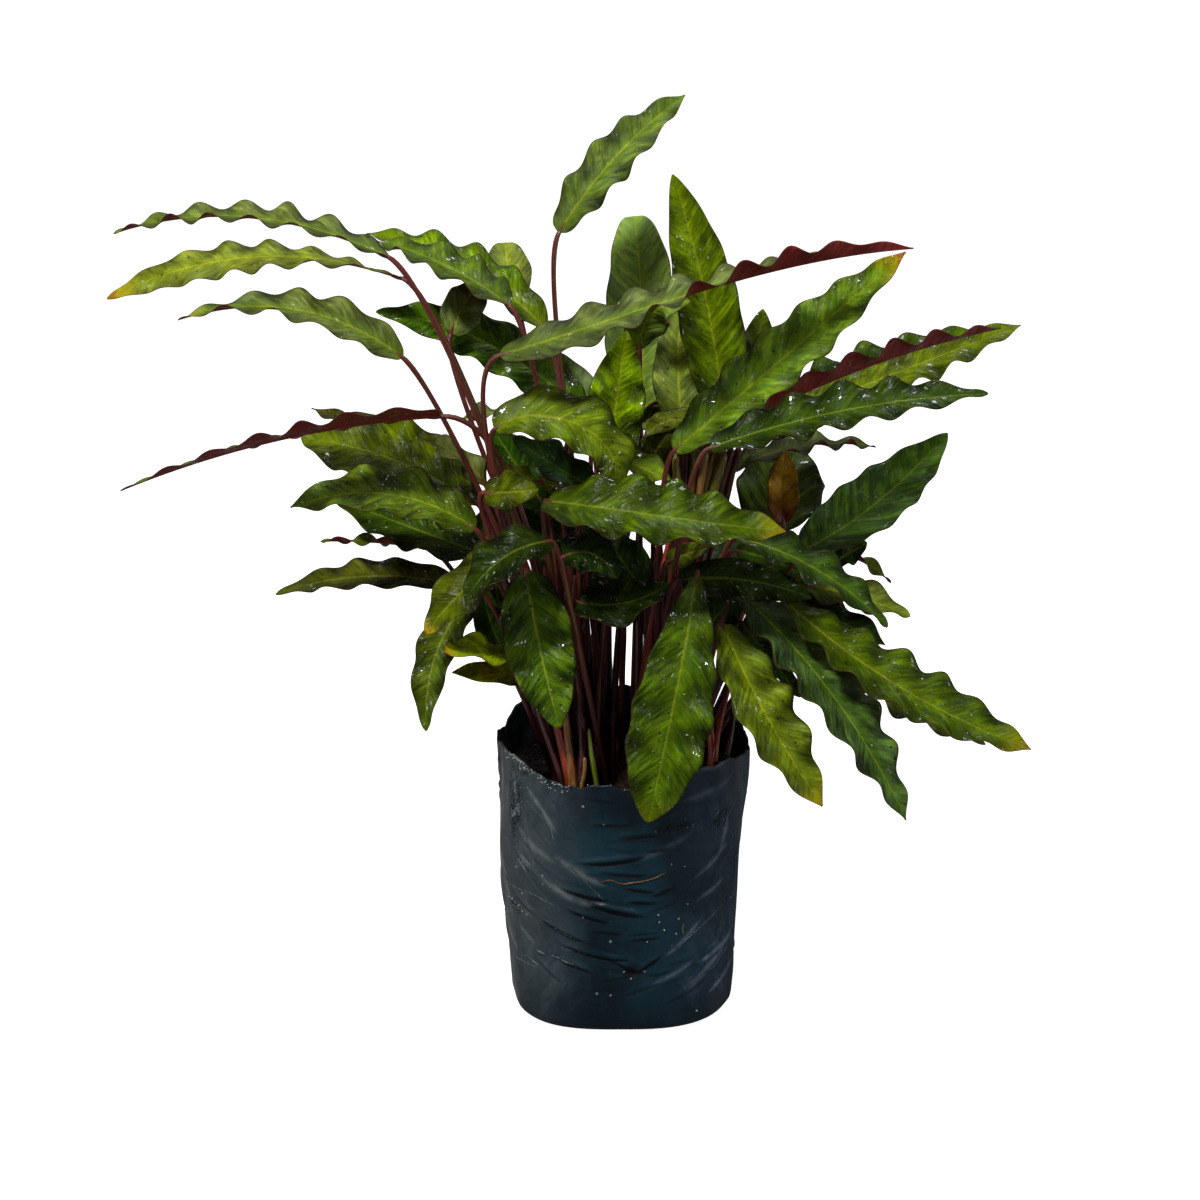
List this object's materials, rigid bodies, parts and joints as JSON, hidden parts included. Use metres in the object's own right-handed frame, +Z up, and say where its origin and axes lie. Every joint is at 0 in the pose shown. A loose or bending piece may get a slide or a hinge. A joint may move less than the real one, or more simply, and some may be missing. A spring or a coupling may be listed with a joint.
{
  "type": "potted velvet calathea",
  "caption": "Velvet calathea with long wavy-edged leaves, maroon underneath, on red-brown stalks, in an open soft black-blue grow bag of soil.",
  "frame": {"origin": "centre of the grow bag's flat bottom, on the surface that it stands on", "axes": "+Z up out of the bag, +X to the right and -Y towards the viewer of the pictured front"},
  "size_m": [0.7197, 0.4345, 0.6988],
  "materials": {
    "film": "thin dark blue-green polythene film, crinkled, softly glossy",
    "soil": "moist dark coco-peat potting mix, rough",
    "stalk": "smooth red-brown leaf stalks, satin",
    "leaf_lime": "lime green leaf, wet sheen, maroon underneath",
    "leaf_green": "mid green leaf, wet sheen, maroon underneath",
    "leaf_dark": "dark green leaf, wet sheen, maroon underneath",
    "leaf_olive": "olive green leaf, satin, maroon underneath"
  },
  "bodies": {
    "root": {"grow_bag": "film", "potting_soil": "soil", "crown_and_stalks": "stalk", "leaf_01": "leaf_green", "leaf_02": "leaf_lime", "leaf_03": "leaf_green", "leaf_04": "leaf_green", "leaf_05": "leaf_lime", "leaf_06": "leaf_lime", "leaf_07": "leaf_olive", "leaf_08": "leaf_dark", "leaf_09": "leaf_lime", "leaf_10": "leaf_green", "leaf_11": "leaf_dark", "leaf_12": "leaf_lime", "leaf_13": "leaf_dark", "leaf_14": "leaf_olive", "leaf_15": "leaf_dark", "leaf_16": "leaf_green", "leaf_17": "leaf_green", "leaf_18": "leaf_green", "leaf_19": "leaf_green", "leaf_20": "leaf_lime", "leaf_21": "leaf_dark", "leaf_22": "leaf_olive", "leaf_23": "leaf_dark", "leaf_24": "leaf_dark", "leaf_25": "leaf_green", "leaf_26": "leaf_lime", "leaf_27": "leaf_lime", "leaf_28": "leaf_dark", "leaf_29": "leaf_lime", "leaf_30": "leaf_green", "leaf_31": "leaf_dark", "leaf_32": "leaf_lime", "leaf_33": "leaf_green", "leaf_34": "leaf_lime", "leaf_35": "leaf_lime", "leaf_36": "leaf_olive", "leaf_37": "leaf_dark", "leaf_38": "leaf_green", "leaf_39": "leaf_lime", "leaf_40": "leaf_olive", "leaf_41": "leaf_green", "leaf_42": "leaf_olive", "leaf_43": "leaf_olive", "leaf_44": "leaf_lime", "leaf_45": "leaf_lime", "leaf_46": "leaf_dark", "leaf_47": "leaf_lime", "leaf_48": "leaf_green", "leaf_49": "leaf_dark", "leaf_50": "leaf_dark", "leaf_51": "leaf_dark", "leaf_52": "leaf_dark", "leaf_53": "leaf_green", "leaf_54": "leaf_dark", "leaf_55": "leaf_green", "leaf_56": "leaf_green", "leaf_57": "leaf_dark"}
  },
  "joints": []
}
